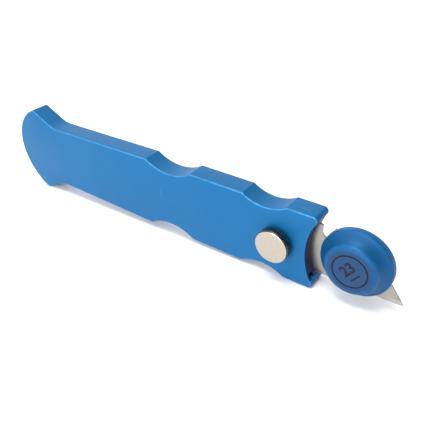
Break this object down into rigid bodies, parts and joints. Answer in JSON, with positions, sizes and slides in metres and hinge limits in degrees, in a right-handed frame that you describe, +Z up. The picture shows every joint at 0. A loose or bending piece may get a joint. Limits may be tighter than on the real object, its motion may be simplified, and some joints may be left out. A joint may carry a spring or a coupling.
{
  "type": "utility knife",
  "caption": "Flat one-piece metal handle with finger scoops, a trapezoid blade clamped by a knurled thumbscrew, and a round stop disc on the blade that limits cutting depth.",
  "frame": {"origin": "middle of the handle's flat back face, at mid length and mid height", "axes": "+X along the handle towards the blade, +Y out of the flat back face, +Z up across the blade, away from its cutting edge"},
  "size_m": [0.1712, 0.0136, 0.0362],
  "materials": {
    "handle": "bead-blasted and anodised mid blue, satin, with softly broken edges",
    "disc": "turned and anodised deep blue, satin",
    "thumbscrew": "nickel plated, polished flat face and bright knurled rim",
    "stud": "plain machined steel",
    "blade": "ground and polished blade steel with a thin oil film",
    "insert": "turned brass",
    "washer": "dark nylon washer",
    "clamp_screw": "black oxide steel"
  },
  "bodies": {
    "handle": {"handle": "handle", "thread_insert": "insert"},
    "clamp_pad": {"pressure_pad": "insert"},
    "thumbscrew": {"thumb_stud": "stud", "thumb_head": "thumbscrew", "thumb_washer": "washer"},
    "blade": {"blade": "blade", "hub_sleeve": "stud", "disc_near": "disc", "disc_far": "disc", "clamp_screw": "clamp_screw"}
  },
  "joints": [
    {"name": "pad_slide", "type": "slide", "parent": "handle", "child": "clamp_pad", "axis": [0, -1, 0], "range_m": [0, 0.00075]},
    {"name": "thumb_screw_turn", "type": "hinge", "parent": "clamp_pad", "child": "thumbscrew", "pos_m": [0.05815, -0.008, 0], "axis": [0, -1, 0], "range_deg": [0, 540]},
    {"name": "blade_slide", "type": "slide", "parent": "handle", "child": "blade", "axis": [1, 0, 0], "range_m": [-0.003, 0.03]}
  ],
  "couplings": [
    {"joint": "thumb_screw_turn", "follows": "pad_slide", "rad_per_m": 12566}
  ]
}
